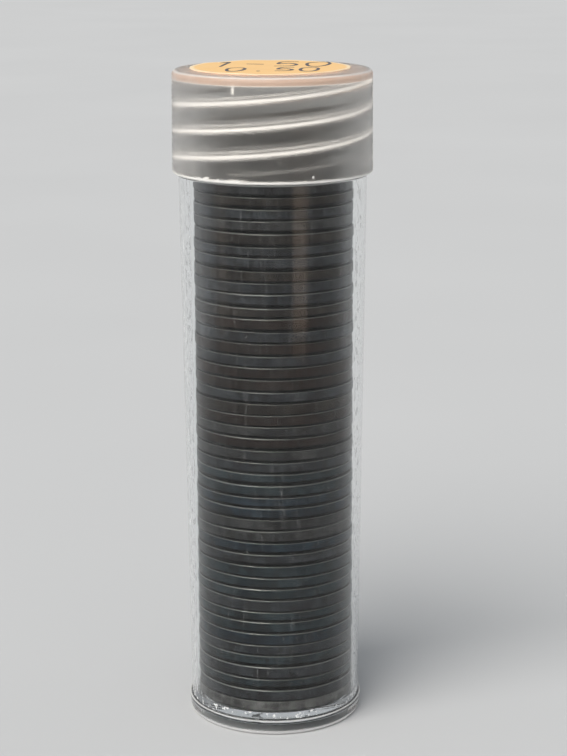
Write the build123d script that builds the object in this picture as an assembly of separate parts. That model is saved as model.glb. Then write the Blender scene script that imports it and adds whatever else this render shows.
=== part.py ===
from build123d import *
import os
from math import cos, pi, radians, sin

# A round screw-cap coin tube with its roll of coins. Millimetres, +Z up,
# origin at the centre of the foot, where the tube stands.

# Coins
coin_count = 50
coin_diameter = 19.05
coin_thickness = 1.46        # at the rim, on the least worn coin
coin_wear = 0.044            # most that wear has taken off a coin's thickness
coin_edge_radius = 0.16      # rounding of the rim's corners
coin_rim_width = 0.85
coin_field_depth = 0.17      # the field lies this far below the rim
coin_field_slope = 0.25      # the rim's inner side runs down over this width
coin_lean = 0.07             # the whole roll leans this far towards +X in the tube
coin_drift = 0.11            # how far a coin may sit off the roll's middle
golden_share = 0.618034      # spreads wear and drift evenly from coin to coin
quarter_share = 0.25
half_share = 0.5

# Tube body
floor_height = 2.7           # top of the tube's floor above the table
recess_depth = 1.2           # hollow under the floor
foot_ring_width = 1.5
foot_height = 1.9
foot_ledge = 0.33            # the foot stands out of the body by this
foot_taper = 0.2             # and draws in by this towards the table
foot_edge_radius = 0.6
foot_top_rounding = 0.07
foot_cove_radius = 0.2       # hollow corner between the foot and the body
recess_rounding = 0.3
body_wall = 0.695            # just above the foot; the body widens to the shoulder
shoulder_step = 0.67         # the shoulder stands out of the neck by this
shoulder_rounding = 0.2
bore_clearance = 0.2         # bore over coin, at the floor
bore_draft = 0.2             # the bore is this much larger in radius at the mouth
floor_corner_radius = 0.08
mouth_rounding = 0.15
headspace = 4.1              # free height from the top coin to the tube's rim
gate_radius = 0.9            # moulding gate left under the floor
gate_height = 0.35

# Thread shared by the neck and the cap
neck_wall = 0.625
thread_starts = 2
thread_lead = 6.14           # rise in one full turn
thread_height = 0.45
thread_root_width = 1.26
thread_crest_width = 0.42
thread_clearance = 0.14      # crest to the opposite wall
thread_flank_gap = 0.14      # between the neck's ridge and the cap's, along the axis
thread_root_overrun = 0.12   # how far a ridge is rooted in its wall
neck_thread_low = 1.0        # middle of a ridge's lower end above the shoulder
neck_thread_high = 1.15      # middle of its upper end below the rim
thread_fade_radius = 5.0     # cutter that fades out an inner ridge's end

# Liner, cap and label
seat_gap = 0.05              # liner over the tube's rim
liner_thickness = 0.4
liner_clearance = 0.1        # liner to the cap's wall
liner_play = 0.03            # liner to the cap's ceiling
liner_edge_radius = 0.06
cap_top_thickness = 0.57
cap_height = 12.07
cap_wall = 0.69              # at the top; the skirt is thicker by the draft
cap_draft = 0.09
cap_top_rounding = 0.6
cap_lip_rounding = 0.2
cap_lead_in = 0.3            # bevel inside the skirt's lower edge
cap_skirt_gap = 0.15         # skirt's lower edge over the tube's shoulder
cap_thread_drop = 2.41       # middle of the front ridge below the cap's top
cap_thread_low = 1.95        # middle of a ridge's lower end above the skirt's edge
cap_liner_groove = 0.1       # ridges stop this far under the liner
tick_width = 0.35            # small moulded tick under the liner
tick_height = 0.8
tick_depth = 0.08
tick_bearing = -113.0        # degrees from +X
label_diameter = 19.05
label_thickness = 0.1
label_offset_x = -0.25
label_offset_y = 1.3

front_bearing = -90.0        # degrees from +X, towards the viewer
full_turn = 360.0
cut_overrun = 1.0            # cutting shapes run past the walls by this


# Sizes that follow from those above
coin_radius = coin_diameter * half_share
bore_floor_radius = coin_radius + bore_clearance
bore_mouth_radius = bore_floor_radius + bore_draft
body_bottom_radius = bore_floor_radius + body_wall
foot_top_radius = body_bottom_radius + foot_ledge
foot_bottom_radius = foot_top_radius - foot_taper
recess_radius = foot_bottom_radius - foot_ring_width
neck_radius = bore_mouth_radius + neck_wall
body_top_radius = neck_radius + shoulder_step
cap_ridge_radius = neck_radius + thread_clearance
cap_bore_radius = neck_radius + thread_height + thread_clearance
neck_crest_radius = neck_radius + thread_height
cap_top_radius = cap_bore_radius + cap_wall
cap_skirt_radius = cap_top_radius + cap_draft
thread_pitch = thread_lead / thread_starts
thread_flank_width = (thread_root_width - thread_crest_width) * half_share


def coin_wear_share(number):
    """How worn one coin is, from 0 to 1."""
    return (number * golden_share) % 1


def one_coin_thickness(number):
    return coin_thickness - coin_wear * coin_wear_share(number)


def coin_base_height(number):
    """Height of the lower face of coin 1, 2, 3 and so on."""
    return floor_height + sum(one_coin_thickness(below) for below in range(1, number))


stack_top = coin_base_height(coin_count + 1)
rim_height = stack_top + headspace
liner_base = rim_height + seat_gap
ceiling_height = liner_base + liner_thickness + liner_play
cap_top = ceiling_height + cap_top_thickness
cap_bottom = cap_top - cap_height
shoulder_height = cap_bottom - cap_skirt_gap


def spun(face_or_sketch):
    """Turns a profile drawn on the XZ plane into a solid of revolution."""
    return revolve(face_or_sketch, axis=Axis.Z)


def helix_bearing(height, front_height):
    """Bearing in degrees at which a ridge reaches a height."""
    return front_bearing + full_turn * (height - front_height) / thread_lead


def ridge(wall_radius, crest_radius, low, high, front_height):
    """One helical ridge between two heights of its middle line.

    front_height is where its middle line would pass the front of the object.
    """
    outward = 1 if crest_radius > wall_radius else -1
    root_radius = wall_radius - outward * thread_root_overrun
    flank_per_height = thread_flank_width / thread_height
    root_half = thread_root_width * half_share + thread_root_overrun * flank_per_height
    crest_half = thread_crest_width * half_share
    section = Plane.XZ * make_face(
        Polyline(
            (root_radius, -root_half),
            (crest_radius, -crest_half),
            (crest_radius, crest_half),
            (root_radius, root_half),
            close=True,
        )
    )
    path = Helix(pitch=thread_lead, height=high - low, radius=crest_radius)
    swept = sweep(section, path=path, is_frenet=True)
    turned = Rot(Z=helix_bearing(low, front_height)) * swept
    return Pos(Z=low) * turned


def outer_fade(bearing, height):
    """Cutter that runs an outer ridge's end down into the neck."""
    depth = neck_crest_radius - neck_radius + cut_overrun
    block = Box(depth, neck_crest_radius, thread_pitch, align=(Align.MIN, Align.CENTER, Align.CENTER))
    return Pos(Z=height) * Rot(Z=bearing) * Pos(X=neck_radius) * block


def inner_fade(bearing, height):
    """Cutter that runs an inner ridge's end out into the cap's wall."""
    drum = Cylinder(thread_fade_radius, thread_pitch)
    shift = cap_bore_radius - thread_fade_radius
    return Pos(Z=height) * Rot(Z=bearing) * Pos(X=shift) * drum


def neck_thread():
    """The ridges outside the neck, faded at both ends."""
    low = shoulder_height + neck_thread_low
    high = rim_height - neck_thread_high
    flank_rise = thread_flank_width * (thread_height - thread_clearance) / thread_height
    ridge_to_ridge = thread_crest_width + flank_rise + thread_flank_gap
    ridges = []
    for start in range(thread_starts):
        front = cap_top - cap_thread_drop + ridge_to_ridge - start * thread_pitch
        one = ridge(neck_radius, neck_crest_radius, low, high, front)
        one -= outer_fade(helix_bearing(low, front), low)
        one -= outer_fade(helix_bearing(high, front), high)
        ridges.append(one)
    return ridges


def cap_thread():
    """The ridges inside the cap, cut off flat under the liner."""
    low = cap_bottom + cap_thread_low
    ridge_limit = liner_base - cap_liner_groove
    high = ridge_limit + thread_root_width * half_share
    top_cutter = Pos(Z=ridge_limit) * Cylinder(
        cap_skirt_radius, thread_pitch + cut_overrun, align=(Align.CENTER, Align.CENTER, Align.MIN)
    )
    ridges = []
    for start in range(thread_starts):
        front = cap_top - cap_thread_drop - start * thread_pitch
        one = ridge(cap_bore_radius, cap_ridge_radius, low, high, front)
        one -= inner_fade(helix_bearing(low, front), low)
        one -= top_cutter
        ridges.append(one)
    return ridges


def arc_corner(corner, before, after, radius):
    """Start, middle and end of the arc that rounds one right or near-right corner."""
    into = (Vector(*before) - Vector(*corner)).normalized()
    out = (Vector(*after) - Vector(*corner)).normalized()
    half_angle = radians(into.get_angle(out)) * half_share
    reach = radius * cos(half_angle) / sin(half_angle)
    centre_way = (into + out).normalized()
    centre = Vector(*corner) + centre_way * (radius / sin(half_angle))
    return (
        Vector(*corner) + into * reach,
        centre - centre_way * radius,
        Vector(*corner) + out * reach,
    )


def rounded_profile(points, roundings):
    """A closed face through (radius, height) points on the XZ plane.

    roundings maps a point's place in the list to its corner radius.
    """
    count = len(points)
    corners = []
    for place, point in enumerate(points):
        if place in roundings:
            before = points[place - 1]
            after = points[(place + 1) % count]
            corners.append(arc_corner(point, before, after, roundings[place]))
        else:
            corners.append((Vector(*point),))
    edges = []
    for place, corner in enumerate(corners):
        if len(corner) > 1:
            edges.append(ThreePointArc(*corner))
        edges.append(Line(corner[-1], corners[(place + 1) % count][0]))
    return Plane.XZ * make_face(Wire(edges))


def tube():
    """The clear tube: foot, tapered body, shoulder and threaded neck."""
    points = [
        (0, recess_depth),
        (recess_radius, recess_depth),
        (recess_radius, 0),
        (foot_bottom_radius, 0),
        (foot_top_radius, foot_height),
        (body_bottom_radius, foot_height),
        (body_top_radius, shoulder_height),
        (neck_radius, shoulder_height),
        (neck_radius, rim_height),
        (bore_mouth_radius, rim_height),
        (bore_floor_radius, floor_height),
        (0, floor_height),
    ]
    roundings = {
        1: recess_rounding,
        2: recess_rounding,
        3: foot_edge_radius,
        4: foot_top_rounding,
        5: foot_cove_radius,
        6: shoulder_rounding,
        8: mouth_rounding,
        9: mouth_rounding,
        10: floor_corner_radius,
    }
    solid = spun(rounded_profile(points, roundings))
    gate = Pos(Z=recess_depth - gate_height) * Cylinder(
        gate_radius, gate_height + thread_root_overrun, align=(Align.CENTER, Align.CENTER, Align.MIN)
    )
    for one in neck_thread():
        solid += one
    return solid + gate


def cap_tick():
    """The small upright tick on the cap's inner wall, just under the liner."""
    block = Box(
        tick_depth + thread_root_overrun,
        tick_width,
        tick_height,
        align=(Align.MIN, Align.CENTER, Align.MAX),
    )
    reach = cap_bore_radius - tick_depth
    return Pos(Z=liner_base - cap_liner_groove) * Rot(Z=tick_bearing) * Pos(X=reach) * block


def cap():
    """The screw cap: top plate, skirt and inner ridges."""
    points = [
        (0, ceiling_height),
        (cap_bore_radius, ceiling_height),
        (cap_bore_radius, cap_bottom + cap_lead_in),
        (cap_bore_radius + cap_lead_in, cap_bottom),
        (cap_skirt_radius, cap_bottom),
        (cap_top_radius, cap_top),
        (0, cap_top),
    ]
    solid = spun(rounded_profile(points, {4: cap_lip_rounding, 5: cap_top_rounding}))
    for one in cap_thread():
        solid += one
    return solid + cap_tick()


def cap_liner():
    """The thin disc that the cap presses on the tube's rim."""
    radius = cap_bore_radius - liner_clearance
    disc = Cylinder(radius, liner_thickness, align=(Align.CENTER, Align.CENTER, Align.MIN))
    disc = fillet(disc.edges().filter_by(GeomType.CIRCLE), liner_edge_radius)
    return Pos(Z=liner_base) * disc


def cap_label():
    """The round paper label, stuck a little off centre on the cap."""
    disc = Cylinder(
        label_diameter * half_share, label_thickness, align=(Align.CENTER, Align.CENTER, Align.MIN)
    )
    return Pos(label_offset_x, label_offset_y, cap_top) * disc


def coin(number):
    """One coin of the roll: raised rim, sunk field on both faces."""
    height = one_coin_thickness(number)
    rim_inner = coin_radius - coin_rim_width
    field_radius = rim_inner - coin_field_slope
    points = [
        (0, coin_field_depth),
        (field_radius, coin_field_depth),
        (rim_inner, 0),
        (coin_radius, 0),
        (coin_radius, height),
        (rim_inner, height),
        (field_radius, height - coin_field_depth),
        (0, height - coin_field_depth),
    ]
    solid = spun(rounded_profile(points, {3: coin_edge_radius, 4: coin_edge_radius}))
    way = 2 * pi * ((number * golden_share * golden_share + quarter_share) % 1)
    drift = coin_drift * coin_wear_share(number * 2)
    across = coin_lean + drift * cos(way)
    return Pos(across, drift * sin(way), coin_base_height(number)) * solid


os.makedirs("parts", exist_ok=True)
export_step(tube(), "parts/tube.step")
export_step(cap(), "parts/cap.step")
export_step(cap_liner(), "parts/cap_liner.step")
export_step(cap_label(), "parts/cap_label.step")
for coin_number in range(1, coin_count + 1):
    export_step(coin(coin_number), f"parts/coin_{coin_number:02d}.step")

print("coin stack top", round(stack_top, 3))
print("tube rim", round(rim_height, 3))
print("cap bottom and top", round(cap_bottom, 3), round(cap_top, 3))
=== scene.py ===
import math
import random

import bmesh
import bpy
import numpy as np
from mathutils import Matrix, Vector


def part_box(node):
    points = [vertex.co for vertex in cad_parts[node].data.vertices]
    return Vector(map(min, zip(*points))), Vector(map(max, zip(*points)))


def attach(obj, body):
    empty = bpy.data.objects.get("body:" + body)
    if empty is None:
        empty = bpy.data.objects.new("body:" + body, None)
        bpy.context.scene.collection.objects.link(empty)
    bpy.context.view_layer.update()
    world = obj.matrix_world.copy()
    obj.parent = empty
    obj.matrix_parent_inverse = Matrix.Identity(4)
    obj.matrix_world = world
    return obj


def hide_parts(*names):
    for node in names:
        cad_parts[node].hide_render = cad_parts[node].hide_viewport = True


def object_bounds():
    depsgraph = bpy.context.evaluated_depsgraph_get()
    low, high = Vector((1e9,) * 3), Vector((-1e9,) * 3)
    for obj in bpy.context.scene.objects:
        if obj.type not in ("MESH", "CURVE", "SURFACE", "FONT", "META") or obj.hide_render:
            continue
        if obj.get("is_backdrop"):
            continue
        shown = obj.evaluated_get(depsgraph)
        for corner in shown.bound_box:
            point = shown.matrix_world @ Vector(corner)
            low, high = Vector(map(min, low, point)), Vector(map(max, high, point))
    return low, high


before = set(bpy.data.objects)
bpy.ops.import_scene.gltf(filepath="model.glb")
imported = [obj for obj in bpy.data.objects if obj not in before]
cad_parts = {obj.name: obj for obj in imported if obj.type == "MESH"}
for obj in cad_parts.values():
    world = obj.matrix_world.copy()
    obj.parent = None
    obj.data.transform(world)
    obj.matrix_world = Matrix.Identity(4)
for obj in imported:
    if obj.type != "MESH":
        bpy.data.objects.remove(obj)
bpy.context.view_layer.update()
mm = 0.001
turn = 2 * math.pi
rng = random.Random(50)


# Nodes: one wrapped output, so that shader maths reads as ordinary Python
class Wire:
    def __init__(self, paint, socket):
        self.paint, self.socket = paint, socket

    def op(self, kind, a, b=0.0):
        return self.paint.add("ShaderNodeMath", {"operation": kind}, {0: a, 1: b})

    def __add__(self, other):
        return self.op("ADD", self, other)

    def __radd__(self, other):
        return self.op("ADD", other, self)

    def __sub__(self, other):
        return self.op("SUBTRACT", self, other)

    def __rsub__(self, other):
        return self.op("SUBTRACT", other, self)

    def __mul__(self, other):
        return self.op("MULTIPLY", self, other)

    def __rmul__(self, other):
        return self.op("MULTIPLY", other, self)

    def __truediv__(self, other):
        return self.op("DIVIDE", self, other)

    def __rtruediv__(self, other):
        return self.op("DIVIDE", other, self)

    def __pow__(self, other):
        return self.op("POWER", self, other)

    def __rpow__(self, other):
        return self.op("POWER", other, self)

    def __abs__(self):
        return self.op("ABSOLUTE", self)

    def above(self, other):
        return self.op("MAXIMUM", self, other)

    def below(self, other):
        return self.op("MINIMUM", self, other)


class Paint:                                     # a material under construction
    def __init__(self, name, fixed):
        self.mat = bpy.data.materials.new(name)
        self.mat.use_nodes = True
        self.tree = self.mat.node_tree
        self.shader = self.tree.nodes["Principled BSDF"]
        self.surface = self.tree.nodes["Material Output"].inputs["Surface"]
        for socket, value in fixed.items():
            self.shader.inputs[socket].default_value = value

    def cover(self, share, fixed):
        # A second finish over the first, by share; what is fed after this goes to it
        under = Wire(self, self.surface.links[0].from_socket)
        over = self.add("ShaderNodeBsdfPrincipled", sockets=fixed)
        self.shader = over.socket.node
        blend = self.add("ShaderNodeMixShader", sockets={0: share, 1: under, 2: over})
        self.tree.links.new(blend.socket, self.surface)

    def add(self, kind, settings=None, sockets=None, out=0):
        node = self.tree.nodes.new(kind)
        for key, value in (settings or {}).items():
            setattr(node, key, value)
        for key, value in (sockets or {}).items():
            if isinstance(value, Wire):
                self.tree.links.new(value.socket, node.inputs[key])
            else:
                node.inputs[key].default_value = value
        return Wire(self, node.outputs[out])

    def feed(self, socket, wire):
        self.tree.links.new(wire.socket, self.shader.inputs[socket])

    def place(self, stretch=(1, 1, 1)):          # object coordinates in mm, stretched along each axis
        coords = self.add("ShaderNodeTexCoord", out="Object")
        return self.add(
            "ShaderNodeVectorMath",
            {"operation": "MULTIPLY"},
            {0: coords, 1: tuple(s / mm for s in stretch)},
        )

    def split(self, vector):                     # x, y and z of a vector
        first = self.add("ShaderNodeSeparateXYZ", sockets={0: vector})
        return [Wire(self, out) for out in first.socket.node.outputs]

    def near(self, where, point):                # distance from a point, mm
        return self.add("ShaderNodeVectorMath", {"operation": "DISTANCE"}, {0: where, 1: point}, out=1)

    def alongRidge(self, where, t, front):       # height above the middle of the nearest ridge, mm
        x, y, z = self.split(where)
        angle = y.op("ARCTAN2", y, x)
        pitch = t["lead"] / t["starts"]
        turns = (z - front - t["lead"] * (angle / turn + t["frontTurn"])) / pitch
        return self.add("ShaderNodeMath", {"operation": "WRAP"}, {0: turns, 1: 0.5, 2: -0.5}) * pitch

    def noise(self, where, scale, detail=2.0, rough=0.5, shift=0.0):
        moved = self.add("ShaderNodeVectorMath", {"operation": "ADD"}, {0: where, 1: (shift, shift, shift)})
        return self.add(
            "ShaderNodeTexNoise",
            sockets={"Vector": moved, "Scale": scale, "Detail": detail, "Roughness": rough},
        )

    def step(self, value, low, high, toLow=0.0, toHigh=1.0):
        return self.add(
            "ShaderNodeMapRange",
            {"interpolation_type": "SMOOTHSTEP"},
            {"Value": value, "From Min": low, "From Max": high, "To Min": toLow, "To Max": toHigh},
        )

    def mix(self, share, first, second):         # colours only
        return self.add(
            "ShaderNodeMix", {"data_type": "RGBA"}, {"Factor": share, 6: first, 7: second}, out=2
        )

    def bump(self, height, strength, distance):
        normal = self.add(
            "ShaderNodeBump", sockets={"Height": height, "Strength": strength, "Distance": distance * mm}
        )
        self.feed("Normal", normal)


# Meshes
def roundedLine(points, roundings, steps=6):
    # (radius, height) points with some corners rounded; roundings maps a point's place to its radius
    line = []
    for place, point in enumerate(points):
        if place not in roundings:
            line.append(tuple(point))
            continue
        here = Vector(point)
        into = (Vector(points[place - 1]) - here).normalized()
        out = (Vector(points[(place + 1) % len(points)]) - here).normalized()
        half = into.angle(out) / 2
        radius = roundings[place]
        centre = here + (into + out).normalized() * (radius / math.sin(half))
        start = here + into * (radius / math.tan(half)) - centre
        end = here + out * (radius / math.tan(half)) - centre
        for n in range(steps + 1):
            line.append(tuple(centre + start.slerp(end, n / steps).normalized() * radius))
    return line


def denser(line, longest=2.0, guard=0.03, fineRow=None, fineSpan=(0, 0), fineSide="outer"):
    # Extra rows: short ones beside every corner, so that smooth shading stays in it,
    # and fine ones where ridges run
    low, high = fineSpan
    fine = []
    for (r0, z0), (r1, z1) in zip(line, line[1:]):
        length = math.hypot(r1 - r0, z1 - z0)
        inside = min(z0, z1) >= low - 1e-6 and max(z0, z1) <= high + 1e-6
        ridged = fineRow and inside and (z1 > z0) == (fineSide == "outer") and abs(z1 - z0) > fineRow
        count = max(1, round(length / (fineRow if ridged else longest)))
        shares = [n / count for n in range(count)]
        if length > 4 * guard:
            shares = sorted(set(shares) | {guard / length, 1 - guard / length})
        fine.extend((r0 + (r1 - r0) * share, z0 + (z1 - z0) * share) for share in shares)
    fine.append(line[-1])
    return fine


def spin(name, line, segments, shape=None):
    # Revolves a (radius, height) line in mm;
    # shape(angles, radii, heights) gives each ring's own radii and heights
    angles = np.arange(segments) * (turn / segments)
    verts, rings = [], []
    for r, z in line:
        if r < 1e-6:
            rings.append([len(verts)])
            verts.append((0.0, 0.0, z))
            continue
        radii, heights = (np.full(segments, r), np.full(segments, z))
        if shape:
            radii, heights = shape(angles, radii, heights)
        first = len(verts)
        rings.append(list(range(first, first + segments)))
        verts.extend(zip(radii * np.cos(angles), radii * np.sin(angles), heights))
    faces = []
    for low, high in zip(rings, rings[1:]):
        for n in range(segments):
            after = (n + 1) % segments
            if len(low) == 1:
                faces.append((low[0], high[after], high[n]))
            elif len(high) == 1:
                faces.append((low[n], low[after], high[0]))
            else:
                faces.append((low[n], low[after], high[after], high[n]))
    return meshPiece(name, verts, faces)


def meshPiece(name, verts, faces, sharpAngle=32, turnOut=False):
    mesh = bpy.data.meshes.new(name)
    mesh.from_pydata([tuple(c * mm for c in v) for v in verts], [], faces)
    mesh.validate()
    if turnOut:                                  # closed bodies whose faces were made in any order
        loose = bmesh.new()
        loose.from_mesh(mesh)
        bmesh.ops.recalc_face_normals(loose, faces=loose.faces)
        loose.to_mesh(mesh)
        loose.free()
    mesh.shade_smooth()
    mesh.set_sharp_from_angle(angle=math.radians(sharpAngle))
    piece = bpy.data.objects.new(name, mesh)
    bpy.context.scene.collection.objects.link(piece)
    return piece


def ridgeHeight(angles, heights, thread, front, low, high, upperFade=True):
    # How far a two-start ridge stands out of its wall at each angle and height
    pitch = thread["lead"] / thread["starts"]
    climb = thread["lead"] * (angles / turn + thread["frontTurn"])
    offset = (heights - front - climb) % pitch
    offset = np.where(offset > pitch / 2, offset - pitch, offset)
    middle = heights - offset
    half, crest = thread["rootWidth"] / 2, thread["crestWidth"] / 2
    rise = np.clip((half - np.abs(offset)) / (half - crest), 0, 1)
    fade = np.clip((middle - low) / thread["fade"] + 0.5, 0, 1)
    if upperFade:
        fade = fade * np.clip((high - middle) / thread["fade"] + 0.5, 0, 1)
    return thread["height"] * rise * fade


thread = {
    "starts": 2,
    "lead": 6.14,
    "height": 0.45,
    "rootWidth": 1.26,
    "crestWidth": 0.42,
    "frontTurn": 0.25,           # the front is a quarter turn before the x axis
    "fade": 0.5,                 # a ridge rises out of its wall over this much climb
    "row": 0.056,                # spacing of the mesh rows that carry it
}


def onWall(radius, bearing, height):             # a point of a round wall, by its bearing in degrees
    angle = math.radians(bearing)
    return radius * math.cos(angle), radius * math.sin(angle), height


# Camera, at the photograph's angle
camera = {
    "place": (1.2, -239.8, 101.4),
    "pitch": 13.85,
    "roll": 0.2,
    "focalPixels": 2025.55,
    "photoHeight": 756,
    "sensor": 36,
}


def addCamera(c):
    data = bpy.data.cameras.new("photoCamera")
    data.sensor_width = c["sensor"]
    data.lens = c["focalPixels"] * c["sensor"] / c["photoHeight"]
    data.clip_start, data.clip_end = 0.01, 20
    eye = bpy.data.objects.new("photoCamera", data)
    tilt = Matrix.Rotation(math.radians(90 - c["pitch"]), 4, "X")
    roll = Matrix.Rotation(math.radians(-c["roll"]), 4, "Z")
    eye.matrix_world = Matrix.Translation(Vector(c["place"]) * mm) @ tilt @ roll
    bpy.context.scene.collection.objects.link(eye)
    bpy.context.scene.camera = eye


addCamera(camera)
bpy.context.scene.view_settings.view_transform = "Standard"
print("camera set")


# Tube and cap
tubeShape = {
    "segments": 300,
    "wallRow": 9.0,              # spacing of the mesh rows on its plain walls
    "floor": 2.7,
    "recess": 1.2,
    "gate": 0.9,                 # moulding gate under the floor
    "gateHeight": 0.35,
    "footRing": 1.5,
    "foot": 1.9,
    "footTop": 10.75,
    "footBottom": 10.55,
    "bodyBottom": 10.42,
    "bodyTop": 11.22,
    "shoulder": 67.53,
    "neck": 10.55,
    "boreFloor": 9.725,
    "boreMouth": 9.925,
    "rim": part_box("tube")[1].z / mm,
    "ridgeLow": 1.0,
    "ridgeHigh": 1.15,
    "ridgeAboveCap": 0.849,      # middle of a neck ridge above the cap ridge that holds it
    "scuffBearings": (-76, 76),  # bands of small scuffs down the wall, degrees from the front
    "scuffSpread": (0.16, 0.06),  # angles from a band's middle where scuffs begin and where all are seen
    "tone": (0.97, 0.985, 0.985, 1),
    "ior": 1.45,
    "glossTint": (0.35, 0.35, 0.35, 1),
    "milkTone": (0.93, 0.93, 0.92, 1),
    "milkRoughness": 0.4,
    "heelGlowTone": (1.0, 0.83, 0.76, 1),
    "paintedHeelGlow": 0.08,            # painted glow, for the light that the wall guides down to its foot
    "mostMilk": 0.9,
    "milk": {                    # how milky each mark makes the clear wall
        "dashes": 0.3,
        "hair": 0.2,
        "haze": 0.01,
        # From here on the marks are painted light: glints above the foot, and highlights on the step, heel,
        # neck ridges, mouth rim and shoulder
        "footGlints": 0.9,
        "ledgeHighlight": 0.6,
        "heelHighlight": 0.55,
        "crest": 0.25,
        "mouthHighlight": 0.8,
        "shoulder": 0.4,
    },
}
capShape = {
    "segments": 360,
    "top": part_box("cap")[1].z / mm,
    "bottom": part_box("cap")[0].z / mm,
    "ceiling": 0.57,
    "outerTop": 11.83,
    "outerBottom": 11.92,
    "bore": 11.14,
    "topRounding": 0.6,
    "lipRounding": 0.2,
    "leadIn": 0.3,
    "ridgeDrop": 2.41,
    "ridgeLow": 1.95,
    "grooveUnderLiner": 0.1,
    "tickBearing": -113,
    "tickWidth": 0.35,
    "tickHeight": 0.8,
    "tickDepth": 0.08,
    "chipBearing": -121,         # middle of the worn stretch of the lower lip
    "speckBearing": -67,         # a bubble in the skirt
    "speckHeight": 0.75,
    "tone": (1.0, 0.98, 0.958, 1),
    "ior": 1.45,
    "glossTint": (0.32, 0.32, 0.32, 1),
    "roughness": (0.42, 0.08),   # the least, and what the clouding adds
    "milkTone": (0.97, 0.95, 0.91, 1),
    "milkRoughness": 0.4,
    "bandLightTone": (0.66, 0.48, 0.38, 1),  # painted light: the sticker's colour, led out to the edge by the top plate
    "paintedBandGlow": 0.4,
    "ridgeGlowTone": (1.0, 0.95, 0.88, 1),
    "paintedRidgeGlow": 0.4,            # painted glow, for the light that the ridges gather from the wall around them
    "leastMilk": 0.01,
    "mostMilk": 0.97,
    "milk": {                    # how milky each mark makes the plastic
        # The crest, ring, ridge, corner and band marks are painted highlights and painted light
        "cloud": 0.04,
        "crest": 0.95,
        "tick": 0.8,
        "lip": 0.85,
        "corner": 0.5,
        "plate": 0.06,
        "speck": 0.7,
        "ring": 1.0,
        "ridge": 0.2,
        "glowBand": 0.4,
    },
}


def buildTube(s, t):
    points = [
        (0, s["recess"] - s["gateHeight"]),
        (s["gate"], s["recess"] - s["gateHeight"]),
        (s["gate"], s["recess"]),
        (s["footBottom"] - s["footRing"], s["recess"]),
        (s["footBottom"] - s["footRing"], 0),
        (s["footBottom"], 0),
        (s["footTop"], s["foot"]),
        (s["bodyBottom"], s["foot"]),
        (s["bodyTop"], s["shoulder"]),
        (s["neck"], s["shoulder"]),
        (s["neck"], s["rim"]),
        (s["boreMouth"], s["rim"]),
        (s["boreFloor"], s["floor"]),
        (0, s["floor"]),
    ]
    roundings = {3: 0.3, 4: 0.3, 5: 0.6, 6: 0.07, 7: 0.2, 8: 0.2, 10: 0.15, 11: 0.15, 12: 0.08}
    span = (s["shoulder"], s["rim"])
    line = denser(roundedLine(points, roundings), s["wallRow"], fineRow=t["row"], fineSpan=span)
    front = capShape["top"] - capShape["ridgeDrop"] + s["ridgeAboveCap"]

    def neckRidges(angles, radii, heights):
        onNeck = (heights > s["shoulder"] + 0.01) & (radii >= s["neck"] - 1e-3)
        low, high = s["shoulder"] + s["ridgeLow"], s["rim"] - s["ridgeHigh"]
        extra = ridgeHeight(angles, heights, t, front, low, high)
        return radii + np.where(onNeck, extra, 0), heights

    return spin("tubeShell", line, s["segments"], neckRidges)


def buildCap(s, t):
    ceiling = s["top"] - s["ceiling"]
    points = [
        (0, ceiling),
        (s["bore"], ceiling),
        (s["bore"], s["bottom"] + s["leadIn"]),
        (s["bore"] + s["leadIn"], s["bottom"]),
        (s["outerBottom"], s["bottom"]),
        (s["outerTop"], s["top"]),
        (0, s["top"]),
    ]
    line = roundedLine(points, {4: s["lipRounding"], 5: s["topRounding"]}, 8)
    span = (s["bottom"] + s["leadIn"], ceiling)
    line = denser(line, fineRow=t["row"], fineSpan=span, fineSide="inner")
    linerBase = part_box("cap_liner")[0].z / mm
    limit = linerBase - s["grooveUnderLiner"]
    front = s["top"] - s["ridgeDrop"]
    tickAngle = math.radians(s["tickBearing"]) % turn

    def innerRidges(angles, radii, heights):
        onBore = (radii <= s["bore"] + 1e-3) & (heights < limit) & (heights > s["bottom"] + s["leadIn"])
        low = s["bottom"] + s["ridgeLow"]
        depth = ridgeHeight(angles, heights, t, front, low, s["top"], upperFade=False)
        across = np.abs(angles - tickAngle) * s["bore"]
        onTick = (across < s["tickWidth"] / 2) & (heights > limit - s["tickHeight"])
        depth = np.maximum(depth, np.where(onTick, s["tickDepth"], 0))
        return radii - np.where(onBore, depth, 0), heights

    return spin("capShell", line, s["segments"], innerRidges)


def milkiness(s, marks):                         # the marks added up, each by its share
    return sum(share * marks[name] for name, share in s["milk"].items())


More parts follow.
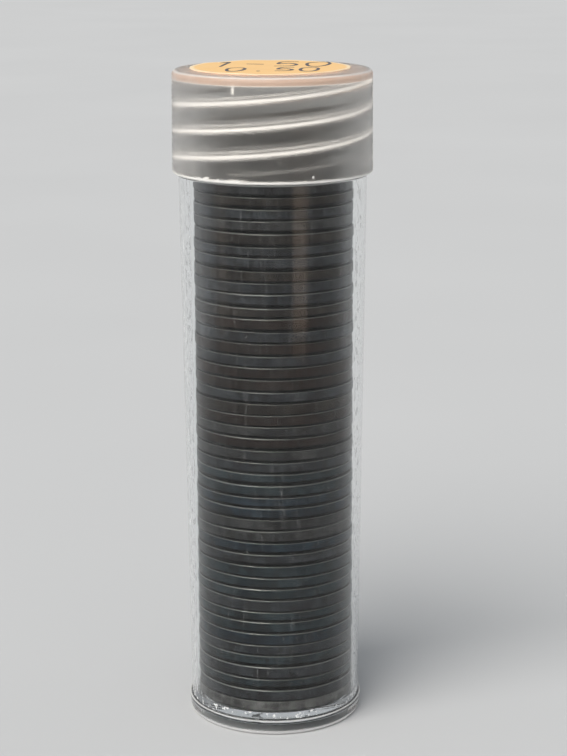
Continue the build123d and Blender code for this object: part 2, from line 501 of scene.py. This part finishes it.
def paintClearPlastic(s, t):
    p = Paint("clearPlastic", {
        "Transmission Weight": 1.0,
        "IOR": s["ior"],
        "Specular Tint": s["glossTint"],
        "Base Color": s["tone"],
    })
    where = p.place()
    x, y, z = p.split(where)
    radius = (x * x + y * y) ** 0.5
    foot, shoulder = s["foot"], s["shoulder"]
    scuffs = p.step(p.noise(p.place((1, 1, 0.12)), 0.8, 4, 0.6), 0.5, 0.75)
    hair = p.step(abs(p.noise(p.place((1, 1, 0.06)), 0.9, 3, 0.7, 7.0) - 0.5), 0.0, 0.003, 1.0, 0.0)
    p.feed("Roughness", 0.02 + 0.06 * scuffs + 0.08 * hair)
    p.bump(p.noise(where, 0.3, 1), 0.05, 0.04)

    # Wear of the wall: dashes along it, two bands of scuffs, hairlines and a faint haze
    outside = p.step(radius, s["bodyBottom"] - 0.25, s["bodyBottom"] - 0.1)
    wall = outside * p.step(z, foot + 0.1, foot + 0.3)
    dashes = p.step(p.noise(p.place((2.2, 2.2, 0.5)), 1.0, 2, 0.5, 3.0), 0.74, 0.80)
    beads = p.step(p.noise(p.place((2.4, 2.4, 1.2)), 1.0, 2, 0.5, 2.0), 0.54, 0.6)
    for side in s["scuffBearings"]:
        eastward, northward = onWall(1, side - 90, 0)[:2]
        along = (x * eastward + y * northward) / radius
        begin, full = (math.cos(spread) for spread in s["scuffSpread"])
        dashes = dashes.above(p.step(along, begin, full) * beads)
    haze = p.step(p.noise(p.place((1, 1, 0.3)), 0.25, 3, 0.6, 11.0), 0.35, 0.75)

    # Painted glints just above the foot and painted highlights on its edges, then painted highlights on the
    # neck that shows through the cap and on the shoulder
    footGlints = p.step(p.noise(where, 1.5, 2, 0.6, 5.0), 0.58, 0.64) * outside
    footGlints = footGlints * p.step(z, foot + 0.1, foot + 0.2) * p.step(z, foot + 1.1, foot + 0.9)
    # a painted highlight along the foot's step
    ledgeHighlight = p.step(z, foot - 0.1, foot - 0.03) * p.step(z, foot + 0.1, foot + 0.03)
    # The heel is whitened and glows pinkish: a painted highlight along the foot's bottom edge
    heelHighlight = p.step(z, 0.7, 0.5) * p.step(radius, s["footBottom"] - 0.5, s["footBottom"] - 0.3)
    # The neck ridges' crests are whitened as a painted highlight
    offset = p.alongRidge(where, t, capShape["top"] - capShape["ridgeDrop"] + s["ridgeAboveCap"])
    crest = p.step(abs(offset), 0.3, 0.1) * p.step(radius, s["neck"] + 0.12, s["neck"] + 0.3)
    # The shoulder ring is whitened as a painted highlight
    shoulderHighlight = p.step(abs(z - shoulder), 0.2, 0.1) * p.step(radius, s["neck"] + 0.02, s["neck"] + 0.1)
    wear = milkiness(s, {
        "dashes": dashes * wall,
        "hair": hair * wall,
        "haze": haze * wall,
        "footGlints": footGlints,
        "ledgeHighlight": ledgeHighlight * p.step(radius, s["bodyBottom"] + 0.1, s["bodyBottom"] + 0.2),
        "heelHighlight": heelHighlight,
        "crest": crest * p.step(z, shoulder + 0.2, shoulder + 0.5),
        # a painted highlight along the mouth rim
        "mouthHighlight": p.step(z, s["rim"] - 0.25, s["rim"] - 0.05),
        "shoulder": shoulderHighlight,
    })
    p.cover(wear.below(s["mostMilk"]), {
        "Base Color": s["milkTone"],
        "Roughness": s["milkRoughness"],
        "Emission Strength": s["paintedHeelGlow"],
    })
    # Emission colour: the heel's painted glow
    p.feed("Emission Color", p.mix(heelHighlight, (0, 0, 0, 1), s["heelGlowTone"]))
    return p.mat


def paintCapPlastic(s, t):
    p = Paint("capPlastic", {
        "Transmission Weight": 1.0,
        "IOR": s["ior"],
        "Specular Tint": s["glossTint"],
        "Base Color": s["tone"],
    })
    where = p.place()
    x, y, z = p.split(where)
    radius = (x * x + y * y) ** 0.5
    cloud = p.noise(where, 0.4, 3, 0.6)
    p.feed("Roughness", s["roughness"][0] + s["roughness"][1] * cloud)
    p.bump(p.noise(where, 0.8, 2), 0.1, 0.04)
    ceiling = s["top"] - s["ceiling"]
    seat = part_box("cap_liner")[0].z / mm

    # The thread, the ring that the liner sits on and the moulding tick; the thread's crests and the ring are
    # whitened as painted highlights
    inside = p.step(radius, s["bore"] + 0.3, s["bore"] + 0.1)
    below = p.step(z, ceiling - 0.35, ceiling - 0.45)
    ridge = p.step(radius, s["bore"] - 0.05, s["bore"] - 0.2) * below
    offset = p.alongRidge(where, t, s["top"] - s["ridgeDrop"])
    crest = p.step(abs(offset + 0.14), 0.23, 0.13) * ridge
    ring = p.step(abs(z - seat + 0.03), 0.09, 0.04) * inside
    eastward, northward = onWall(1, s["tickBearing"], 0)[:2]
    tickPlace = onWall(s["bore"], s["tickBearing"], seat - s["tickHeight"] / 2)
    tick = p.step(abs(y * eastward - x * northward), 0.2, 0.12)
    tick = tick * p.step(p.near(where, tickPlace), 0.62, 0.5) * inside

    # Edges: the lip with its worn stretch and bubble, a painted highlight on the top corner and a band of
    # painted light around the top plate
    rough = p.noise(where, 2.4, 3, 0.6, 4.0)
    chipPlace = onWall(s["outerBottom"], s["chipBearing"], s["bottom"])
    chipped = p.step(p.near(where, chipPlace), 5.0, 2.0) * p.step(p.noise(where, 1.3, 3, 0.6, 9.0), 0.45, 0.6)
    lip = p.step(z - 0.25 * rough - 0.3 * chipped, s["bottom"] + 0.22, s["bottom"] + 0.08)
    speckPlace = onWall(s["outerBottom"], s["speckBearing"], s["bottom"] + s["speckHeight"])
    # A band of painted light in the sticker's colour around the top plate
    glowBand = p.step(z, seat - 0.02, seat + 0.06) * p.step(z, s["top"] - 0.1, s["top"] - 0.25)
    glowBand = glowBand * p.step(radius, s["outerTop"] - 0.3, s["outerTop"] - 0.1) * (0.6 + 0.8 * cloud)
    milk = s["leastMilk"] + milkiness(s, {
        "cloud": cloud,
        "crest": crest,
        "tick": tick,
        "lip": lip,
        # a painted highlight along the top corner
        "corner": p.step(abs(z - s["top"] + 0.12), 0.1, 0.04),
        "plate": p.step(z, ceiling - 0.2, ceiling - 0.05),
        "speck": p.step(p.near(where, speckPlace), 0.2, 0.12),
        "ring": (0.5 + 0.5 * rough) * ring,
        "ridge": ridge,
        "glowBand": glowBand,
    })
    p.cover(milk.below(s["mostMilk"]), {
        "Roughness": s["milkRoughness"],
        "Emission Strength": s["paintedRidgeGlow"],
    })
    # The band takes the sticker's colour and glows with it: painted light
    p.feed("Base Color", p.mix(glowBand, s["milkTone"], s["bandLightTone"]))
    # The crests, the ring and the tick glow: painted light
    paintedGlow = p.mix((crest + ring + tick).below(1.0), (0, 0, 0, 1), s["ridgeGlowTone"])
    p.feed("Emission Color", p.mix(glowBand * s["paintedBandGlow"], paintedGlow, s["bandLightTone"]))
    return p.mat


tubePiece = buildTube(tubeShape, thread)
tubePiece.data.materials.append(paintClearPlastic(tubeShape, thread))
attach(tubePiece, "tube")
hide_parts("tube")
capPiece = buildCap(capShape, thread)
capPiece.data.materials.append(paintCapPlastic(capShape, thread))
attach(capPiece, "cap")
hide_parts("cap")
print("tube and cap made")


# Coins
coinShape = {
    "rim": 0.85,
    "fieldDepth": 0.17,
    "fieldSlope": 0.25,
    "edge": 0.16,                # rounding of a corner, times a share drawn from one of these ranges
    "lowerWear": (1.0, 3.4),
    "upperWear": (0.5, 1.5),
    "segments": 144,
    "waves": 4,                  # shallow dents around the edge, and their depth
    "dent": 0.03,
    "shift": 0.06,               # how far a joint between two coins strays from its even place
    "tilt": 0.07,                # and how far it tips, at the coin's edge
    "airUnder": 0.03,            # film of air under the lowest coin's rim
    "stain": (0.025, 0.022, 0.02, 1),
    # bare metal of the upper corners, partly painted highlight
    "bareAndHighlight": (0.30, 0.30, 0.28, 1),
    # near black for painted shade under each coin and its darker faces
    "shadeAndJoinTone": (0.004, 0.004, 0.004, 1),
}


def buildCoin(node, s, under, over):
    # under and over are the (shift, tilt x, tilt y) of the joints below and above the coin
    low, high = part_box(node)
    middle = (low + high) / 2 / mm
    radius = (high.x - low.x) / mm / 2
    height = (high.z - low.z) / mm
    inner = radius - s["rim"]
    field = inner - s["fieldSlope"]
    points = [
        (0, s["fieldDepth"]),
        (field, s["fieldDepth"]),
        (inner, 0),
        (radius, 0),
        (radius, height),
        (inner, height),
        (field, height - s["fieldDepth"]),
        (0, height - s["fieldDepth"]),
    ]
    soft = {3: s["edge"] * rng.uniform(*s["lowerWear"]), 4: s["edge"] * rng.uniform(*s["upperWear"])}
    line = denser(roundedLine(points, soft, 5))
    waves = [
        (rng.randint(2, 9), rng.uniform(0, turn), rng.uniform(0, s["dent"] / 3))
        for n in range(s["waves"])
    ]

    def worn(angles, radii, heights):
        loss = sum(size * (1 + np.sin(count * angles + phase)) / 2 for count, phase, size in waves)
        east, north = radii * np.cos(angles) / radius, radii * np.sin(angles) / radius
        lower, upper = (shift + tipX * east + tipY * north for shift, tipX, tipY in (under, over))
        share = heights / height
        lifted = heights + lower * (1 - share) + upper * share + low.z / mm
        return radii - np.where(radii > inner, loss, 0), lifted

    line[0], line[-1] = (1e-3, line[0][1]), (1e-3, line[-1][1])
    piece = spin(node + "_worn", line, s["segments"], worn)
    piece.data.transform(Matrix.Translation(Vector((middle.x, middle.y, 0)) * mm))
    return piece


def paintCoin(name, number, dark, light, s, stacked=True):
    p = Paint(name, {"Metallic": 0.75, "IOR": 1.45})
    where = p.place()
    normal = p.add("ShaderNodeNewGeometry", out="Normal")
    upright = p.split(normal)[2]
    # Upward-facing corners turn lighter, partly rubbed bare and partly painted highlight
    upperCornerWearAndHighlight = p.step(upright, 0.2, 0.6) * p.step(upright, 0.8, 0.97, 1.0, 0.0)
    # Downward-facing corners take painted shade
    shadedLowerCorner = p.step(upright, -0.02, -0.2)
    blotch = p.step(p.noise(where, 0.3, 4, 0.65, number * 5.0), 0.35, 0.7)
    streak = p.noise(p.place((1, 1, 0.2)), 0.9, 2, 0.6, number * 3.0)
    grain = p.noise(p.place((0.35, 0.35, 1.2)), 0.8, 2, 0.6, number * 9.0)
    base = p.mix(blotch, (*dark, 1), (*light, 1))
    stained = p.mix(0.5 * p.step(grain * streak, 0.2, 0.34), base, s["stain"])
    worn = p.mix(upperCornerWearAndHighlight * (0.3 + 0.8 * streak).below(1.0), stained, s["bareAndHighlight"])
    if stacked:                                  # painted shade under its lower corner, and darker faces where it meets its neighbours
        shadeAndDarkJoins = shadedLowerCorner.above(p.step(abs(upright), 0.9, 0.98))
        worn = p.mix(shadeAndDarkJoins * 0.97, worn, s["shadeAndJoinTone"])
    p.feed("Base Color", worn)
    p.feed("Roughness", 0.36 + 0.2 * blotch + 0.1 * streak)
    p.bump(streak, 0.05, 0.02)
    return p.mat


# Dark and light shade of each kind of wear, with the part of the stack it is seen in
coinTones = [
    ((0.030, 0.032, 0.037), (0.075, 0.080, 0.087), (0.0, 1.0)),
    ((0.026, 0.021, 0.018), (0.066, 0.055, 0.047), (0.4, 1.0)),
    ((0.036, 0.036, 0.038), (0.090, 0.088, 0.086), (0.3, 1.0)),
    ((0.020, 0.029, 0.034), (0.052, 0.070, 0.079), (0.0, 0.5)),
    ((0.017, 0.025, 0.034), (0.042, 0.060, 0.078), (0.0, 0.45)),
    ((0.024, 0.015, 0.012), (0.050, 0.036, 0.031), (0.42, 0.66)),
]
coinPaints = [
    paintCoin("coinMetal%d" % n, n, dark, light, coinShape)
    for n, (dark, light, span) in enumerate(coinTones)
]
# The end coins' faces take a lighter copy of the metal, as painted light
paintedLightFaceTones = ((0.12, 0.118, 0.114), (0.28, 0.275, 0.265))
reliefTones = ((0.38, 0.37, 0.35), (0.56, 0.55, 0.52))
endPaint = paintCoin("coinMetalFace", 9, *paintedLightFaceTones, coinShape, stacked=False)
reliefPaint = paintCoin("coinMetalRelief", 12, *reliefTones, coinShape, stacked=False)
coinNodes = sorted(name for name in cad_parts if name.startswith("coin_"))
joints = [
    [rng.uniform(-size, size) for size in (coinShape["shift"], coinShape["tilt"], coinShape["tilt"])]
    for node in coinNodes
]
joints[0] = [coinShape["airUnder"], 0, 0]        # the lowest coin lies flat
joints.append([0, 0, 0])
for n, node in enumerate(coinNodes):
    piece = buildCoin(node, coinShape, joints[n], joints[n + 1])
    level = n / len(coinNodes)
    seen = [
        paint for paint, (dark, light, span) in zip(coinPaints, coinTones)
        if span[0] <= level <= span[1]
    ]
    atEnd = node in (coinNodes[0], coinNodes[-1])
    piece.data.materials.append(endPaint if atEnd else rng.choice(seen))
    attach(piece, "coin_roll")
    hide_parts(node)
print("coins made:", len(coinNodes))


# Relief on the two faces of the roll that can be seen: a figure, two leafy sprays and a ring of beads
reliefShape = {
    "height": 0.11,
    "sunk": 0.03,                # how far the relief is rooted in the field
    "bevel": 0.09,
    "beads": 78,
    "beadRing": 7.95,
    "bead": 0.2,
    "sprayRing": 5.9,
    "spraySpan": (-62, 56),      # bearings of its first and last leaf
    "leaves": 9,
    "leafLength": 1.7,
    "leafWidth": 0.36,
    "leafLean": 22,              # degrees that leaves turn in and out by turns
    "leafRib": 0.35,             # height of its sunk rib, as a share
}
figureOne = [                    # outline of the figure 1 in mm, anticlockwise
    (-1.5, -3.1), (1.5, -3.1), (1.5, -2.55), (0.55, -2.3), (0.55, 3.1),
    (0.05, 3.1), (-1.45, 2.2), (-1.45, 1.75), (-0.55, 1.95), (-0.55, -2.3), (-1.5, -2.55),
]


def addSheet(verts, faces, rows, base):
    # A closed body: rows of upper points over a flat base
    across, first = len(rows[0]), len(verts)
    under = len(rows) * across
    for row in rows:
        verts.extend(row)
    for row in rows:
        verts.extend((x, y, base) for x, y, z in row)
    for i in range(len(rows) - 1):
        for j in range(across - 1):
            a = first + i * across + j
            faces.append((a, a + 1, a + 1 + across, a + across))
            faces.append((a + under, a + across + under, a + 1 + across + under, a + 1 + under))
    last = first + under - across
    rim = list(range(first, first + across))
    rim += [first + i * across + across - 1 for i in range(1, len(rows))]
    rim += list(range(last + across - 2, last - 1, -1))
    rim += [first + i * across for i in range(len(rows) - 2, 0, -1)]
    faces.extend((a, b, b + under, a + under) for a, b in zip(rim, rim[1:] + rim[:1]))


def addFigure(verts, faces, outline, s):
    # The outline raised off the field, with a bevelled top edge
    count, first = len(outline), len(verts)
    inner = []
    for n, point in enumerate(outline):
        here = Vector(point)
        into = (here - Vector(outline[n - 1])).normalized()
        out = (Vector(outline[(n + 1) % count]) - here).normalized()
        side = (Vector((-into.y, into.x)) + Vector((-out.y, out.x))).normalized()
        inner.append(here + side * s["bevel"] / max(0.5, side.dot(Vector((-into.y, into.x)))))
    for ring, level in ((outline, -s["sunk"]), (outline, 0.3 * s["height"]), (inner, s["height"])):
        verts.extend((x, y, level) for x, y in ring)
    for level in (0, 1):
        for n in range(count):
            a, b = first + level * count + n, first + level * count + (n + 1) % count
            faces.append((a, b, b + count, a + count))
    faces.append(tuple(range(first + 2 * count, first + 3 * count)))
    faces.append(tuple(reversed(range(first, first + count))))


def beadRows(x, y, s):
    rows = []
    for u in (-1, -0.7, 0, 0.7, 1):
        reach = math.sqrt(1 - u * u) if abs(u) < 1 else 0.15
        dome = s["height"] * math.sqrt(1 - u * u)
        rows.append([
            (x + s["bead"] * u, y + s["bead"] * v * reach, dome * (1 - v * v))
            for v in (-1, -0.5, 0, 0.5, 1)
        ])
    return rows


def leafRows(foot, ahead, mirror, s):
    beside = Vector((-ahead.y, ahead.x))
    rows = []
    for i in range(9):
        u = i / 8
        half = s["leafWidth"] * (0.04 + math.sin(math.pi * u**0.8) ** 0.9)
        row = []
        for v in (-1, -0.6, -0.12, 0, 0.12, 0.6, 1):
            spot = foot + ahead * s["leafLength"] * (u - 0.3) + beside * half * v
            rib = s["leafRib"] if v == 0 else 1.0
            rise = s["height"] * rib * (1 - v * v) * math.sin(math.pi * u) ** 0.5
            row.append((mirror * spot.x, spot.y, rise))
        rows.append(row)
    return rows


def buildRelief(name, s, place, faceDown):
    verts, faces = [], []
    addFigure(verts, faces, figureOne, s)
    for n in range(s["beads"]):
        angle = turn * n / s["beads"]
        x, y = s["beadRing"] * math.cos(angle), s["beadRing"] * math.sin(angle)
        addSheet(verts, faces, beadRows(x, y, s), -s["sunk"])
    start, end = s["spraySpan"]
    for mirror in (-1, 1):
        for n in range(s["leaves"]):
            angle = math.radians(start + (end - start) * n / (s["leaves"] - 1))
            foot = Vector((s["sprayRing"] * math.cos(angle), s["sprayRing"] * math.sin(angle)))
            lean = angle + math.radians(90 + (s["leafLean"] if n % 2 else -s["leafLean"]))
            ahead = Vector((math.cos(lean), math.sin(lean)))
            addSheet(verts, faces, leafRows(foot, ahead, mirror, s), -s["sunk"])
    if faceDown:
        verts = [(-x, y, -z) for x, y, z in verts]
    verts = [(x + place[0], y + place[1], z + place[2]) for x, y, z in verts]
    return meshPiece(name, verts, faces, turnOut=True)


reliefs = (("topCoinRelief", coinNodes[-1], False), ("bottomCoinRelief", coinNodes[0], True))
for name, node, faceDown in reliefs:
    low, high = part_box(node)
    depth = coinShape["fieldDepth"]
    field = low.z / mm + depth if faceDown else high.z / mm - depth
    middle = (low + high) / 2 / mm
    relief = buildRelief(name, reliefShape, (middle.x, middle.y, field), faceDown)
    relief.data.materials.append(reliefPaint)
    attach(relief, "coin_roll")
print("relief made")


# Liner: a card disc pressed up under the top of the cap
linerShape = {
    "segments": 180,
    "edge": 0.08,
    "press": 0.06,               # groove that the rim of the tube has pressed into it
    "pressSlope": 0.15,
    "colours": ((0.78, 0.56, 0.41), (0.90, 0.69, 0.54)),
}


def buildLiner(s, tube):
    low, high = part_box("cap_liner")
    radius, foot, top = (high.x - low.x) / mm / 2, low.z / mm, high.z / mm
    inner, outer = tube["boreMouth"] - s["pressSlope"], tube["neck"] + s["pressSlope"]
    points = [
        (0, foot),
        (inner, foot),
        (tube["boreMouth"], foot + s["press"]),
        (tube["neck"], foot + s["press"]),
        (outer, foot),
        (radius, foot),
        (radius, top),
        (0, top),
    ]
    return spin("linerDisc", denser(roundedLine(points, {5: s["edge"]}), 1.5), s["segments"])


def paintLiner(s):
    p = Paint("linerCard", {"Roughness": 0.8})
    where = p.place()
    cloud = p.noise(where, 0.5, 4, 0.6)
    fibre = p.noise(p.place((2.5, 0.6, 1)), 1.5, 3, 0.6)
    dark, light = ((*tone, 1) for tone in s["colours"])
    p.feed("Base Color", p.mix(0.7 * cloud + 0.3 * fibre, dark, light))
    p.bump(fibre, 0.3, 0.02)
    return p.mat


liner = buildLiner(linerShape, tubeShape)
liner.data.materials.append(paintLiner(linerShape))
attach(liner, "liner")
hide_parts("cap_liner")
print("liner made")


# Label: a round sticker, written on by hand with plain numbers
labelShape = {
    "rings": 14,
    "segments": 120,
    "edge": 0.03,
    "ripple": 0.035,             # waviness of the stuck-down paper
    "nick": 0.05,                # unevenness of its cut edge
    "bite": 0.02,                # how far the glue takes the paper into the surface of the cap
    "oranges": ((0.97, 0.56, 0.19, 1), (1.0, 0.66, 0.29, 1)),
    "fibre": (0.97, 0.73, 0.45, 1),
    "edgeTone": (1.0, 0.88, 0.66, 1),
    "underGlowTone": (0.86, 0.60, 0.43, 1),
    "paintedUnderGlow": 0.45,           # painted glow, for the light that comes through the paper, as the cap sees it
    "inkWidth": 0.44,
    "inkHeight": 0.02,
    "inkTones": ((0.02, 0.018, 0.03, 1), (0.09, 0.06, 0.07, 1)),
    "figurePitch": 1.3,          # in figure widths
    "slant": 0.12,
    "strokeSteps": 5,
}
strokes = {                      # pen strokes of each figure in a cell one wide and two high
    "0": [[
        (0.5, 2.0), (0.12, 1.7), (0.05, 0.9), (0.25, 0.15), (0.6, 0.0),
        (0.92, 0.4), (0.98, 1.2), (0.8, 1.85), (0.45, 2.0),
    ]],
    "1": [[(0.3, 1.6), (0.6, 2.0), (0.5, 0.0)]],
    "5": [[(0.9, 2.0), (0.25, 1.95), (0.15, 1.15), (0.6, 1.25), (0.95, 0.75), (0.7, 0.1), (0.1, 0.05)]],
    "-": [[(0.15, 1.0), (0.85, 1.05)]],
    ".": [[(0.45, 0.1), (0.6, 0.0)]],
}
writing = [                      # text, left end, base line and figure width, mm from the label's middle
    ("1-50", -7.4, 0.6, 2.9),
    ("0.50", -5.4, -5.6, 2.2),
]


def labelLift(x, y, s):
    return s["ripple"] * (np.sin(0.9 * x + 0.5 * y) * np.cos(0.55 * y - 0.3 * x + 1.0) - 0.6)


def buildLabel(s):
    low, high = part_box("cap_label")
    middle = (low + high) / 2 / mm
    radius, top, foot = (high.x - low.x) / mm / 2, high.z / mm, low.z / mm - s["bite"]
    edge = s["edge"]
    line = [(radius * n / s["rings"], foot) for n in range(s["rings"])]
    line += [(radius - edge, foot), (radius, foot + edge), (radius, top - edge), (radius - edge, top)]
    line += [(radius * n / s["rings"], top) for n in reversed(range(s["rings"]))]

    def stuck(angles, radii, heights):
        nick = s["nick"] * (np.sin(5 * angles + 1) * np.sin(13 * angles) - 1) / 2 * (radii / radius) ** 8
        lift = labelLift(radii * np.cos(angles), radii * np.sin(angles), s)
        return radii + nick, heights + np.where(heights > (top + foot) / 2, lift, 0)

    piece = spin("labelPaper", line, s["segments"], stuck)
    piece.data.transform(Matrix.Translation(Vector((middle.x, middle.y, 0)) * mm))
    return piece, middle, top


def smoothPath(path, steps):
    # Points on a Catmull-Rom curve through the path
    ends = [path[0], *path, path[-1]]
    curve = []
    for before, here, after, later in zip(ends, ends[1:], ends[2:], ends[3:]):
        for n in range(steps):
            t = n / steps
            curve.append(tuple(
                0.5 * (2 * q + (r - p) * t
                       + (2 * p - 5 * q + 4 * r - s) * t**2
                       + (3 * q - p - 3 * r + s) * t**3)
                for p, q, r, s in zip(before, here, after, later)
            ))
    return curve + [path[-1]]


def addStroke(verts, faces, path, s, middle, top):
    # A flat pen line that lies on the paper, thinner at its two ends
    first, last = len(verts), len(path) - 1
    for n, (x, y) in enumerate(path):
        before, after = path[max(n - 1, 0)], path[min(n + 1, last)]
        ahead = Vector((after[0] - before[0], after[1] - before[1])).normalized()
        press = s["inkWidth"] * (0.55 + 0.45 * math.sin(math.pi * (n + 1) / (len(path) + 1)))
        for side in (-0.5, 0.5):
            px, py = x - ahead.y * press * side, y + ahead.x * press * side
            level = top + float(labelLift(px, py, s))
            verts.append((middle.x + px, middle.y + py, level - s["inkHeight"]))
            verts.append((middle.x + px, middle.y + py, level + s["inkHeight"]))
        if n:
            a, b = first + 4 * (n - 1), first + 4 * n
            faces += [(a + 1, a + 3, b + 3, b + 1), (a, b, b + 2, a + 2)]
            faces += [(a, a + 1, b + 1, b), (a + 2, b + 2, b + 3, a + 3)]
    end = first + 4 * last
    faces += [(first, first + 2, first + 3, first + 1), (end, end + 1, end + 3, end + 2)]


def buildWriting(s, middle, top):
    verts, faces = [], []
    for text, left, base, width in writing:
        for place, figure in enumerate(text):
            for stroke in strokes[figure]:
                path = [
                    (left + width * (s["figurePitch"] * place + u + s["slant"] * v), base + width * v)
                    for u, v in stroke
                ]
                addStroke(verts, faces, smoothPath(path, s["strokeSteps"]), s, middle, top)
    return meshPiece("labelInk", verts, faces, turnOut=True)


def paintLabel(s, radius, middle):
    p = Paint("labelPaper", {"Roughness": 0.6, "Emission Strength": s["paintedUnderGlow"]})
    where = p.place()
    fibre = p.noise(where, 3.0, 4, 0.7)
    cloud = p.noise(where, 0.25, 3, 0.6)
    outer = p.step(p.near(where, tuple(middle)), radius - 0.7, radius - 0.15)
    orange = p.mix(fibre * 0.25, p.mix(cloud, *s["oranges"]), s["fibre"])
    p.feed("Base Color", p.mix(outer * 0.7, orange, s["edgeTone"]))
    # The paper's underside glows: painted light
    under = p.step(p.split(where)[2], middle[2] - 0.06, middle[2] - 0.09)
    p.feed("Emission Color", p.mix(under, (0, 0, 0, 1), s["underGlowTone"]))
    p.bump(fibre, 0.3, 0.03)
    return p.mat


def paintInk(s):
    p = Paint("penInk", {"Roughness": 0.35})
    blot = p.noise(p.place(), 2.0, 3, 0.6)
    p.feed("Base Color", p.mix(blot, *s["inkTones"]))
    return p.mat


label, labelMiddle, labelTop = buildLabel(labelShape)
labelRadius = label.dimensions.x / mm / 2
label.data.materials.append(paintLabel(labelShape, labelRadius, (labelMiddle.x, labelMiddle.y, labelTop)))
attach(label, "cap")
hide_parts("cap_label")
ink = buildWriting(labelShape, labelMiddle, labelTop)
ink.data.materials.append(paintInk(labelShape))
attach(ink, "cap")
print("label made")


# Floor and lights
studio = {
    "floorSide": 3.0,
    "floorTones": ((0.57, 0.575, 0.58, 1), (0.61, 0.615, 0.62, 1)),
    "world": (0.92, 0.96, 1.0, 1),
    "worldStrength": 0.45,
    "sun": (1, 0.97, 0.93),
    "sunStrength": 2.7,
    "sunSpread": 45,
    "sunWay": (0.45, 0.65, -0.85),
    "stripDistance": 190,
    "strips": [                  # name, bearing, size, height, radiance and colour
        ("rightStrip", 34, (60, 70), 40, 1.3, (1, 0.74, 0.55)),
        ("leftStrip", -66, (50, 70), 40, 0.45, (1, 0.82, 0.68)),
        ("leftCard", -95, (110, 150), 80, 0.45, (0.9, 0.95, 1)),
        ("rightCard", 105, (60, 150), 80, 0.3, (0.9, 0.95, 1)),
    ],
}


def addFloor(s):
    mesh = bpy.data.meshes.new("floor")
    side = s["floorSide"]
    corners = [(-side, -side, 0), (side, -side, 0), (side, side * 2, 0), (-side, side * 2, 0)]
    mesh.from_pydata(corners, [], [(0, 1, 2, 3)])
    floor = bpy.data.objects.new("floor", mesh)
    bpy.context.scene.collection.objects.link(floor)
    p = Paint("floorPaint", {"Roughness": 0.9, "Specular IOR Level": 0.0})
    p.feed("Base Color", p.mix(p.noise(p.place(), 0.01, 2), *s["floorTones"]))
    mesh.materials.append(p.mat)
    floor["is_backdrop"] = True


def addStrip(s, name, bearing, size, height, radiance, colour):
    # A soft light around the object, which shows in its gloss alone
    data = bpy.data.lights.new(name, "AREA")
    data.shape = "RECTANGLE"
    data.size, data.size_y = size[0] * mm, size[1] * mm
    data.energy = radiance * math.pi * data.size * data.size_y
    data.color = colour
    lamp = bpy.data.objects.new(name, data)
    lamp.location = Vector(onWall(s["stripDistance"], bearing - 90, height)) * mm
    lamp.rotation_euler = (Vector((0, 0, height * mm)) - lamp.location).to_track_quat("-Z", "Y").to_euler()
    lamp.visible_camera = False
    lamp.visible_diffuse = False
    bpy.context.scene.collection.objects.link(lamp)


def addSun(s):
    data = bpy.data.lights.new("softSun", "SUN")
    data.energy = s["sunStrength"]
    data.angle = math.radians(s["sunSpread"])
    data.color = s["sun"]
    lamp = bpy.data.objects.new("softSun", data)
    lamp.rotation_euler = Vector(s["sunWay"]).to_track_quat("-Z", "Y").to_euler()
    bpy.context.scene.collection.objects.link(lamp)


def addWorld(s):
    world = bpy.data.worlds.new("studio")
    world.use_nodes = True
    back = world.node_tree.nodes["Background"]
    back.inputs["Color"].default_value = s["world"]
    back.inputs["Strength"].default_value = s["worldStrength"]
    bpy.context.scene.world = world


addFloor(studio)
addWorld(studio)
addSun(studio)
for strip in studio["strips"]:
    addStrip(studio, *strip)
print("stage and lights set")

low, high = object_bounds()
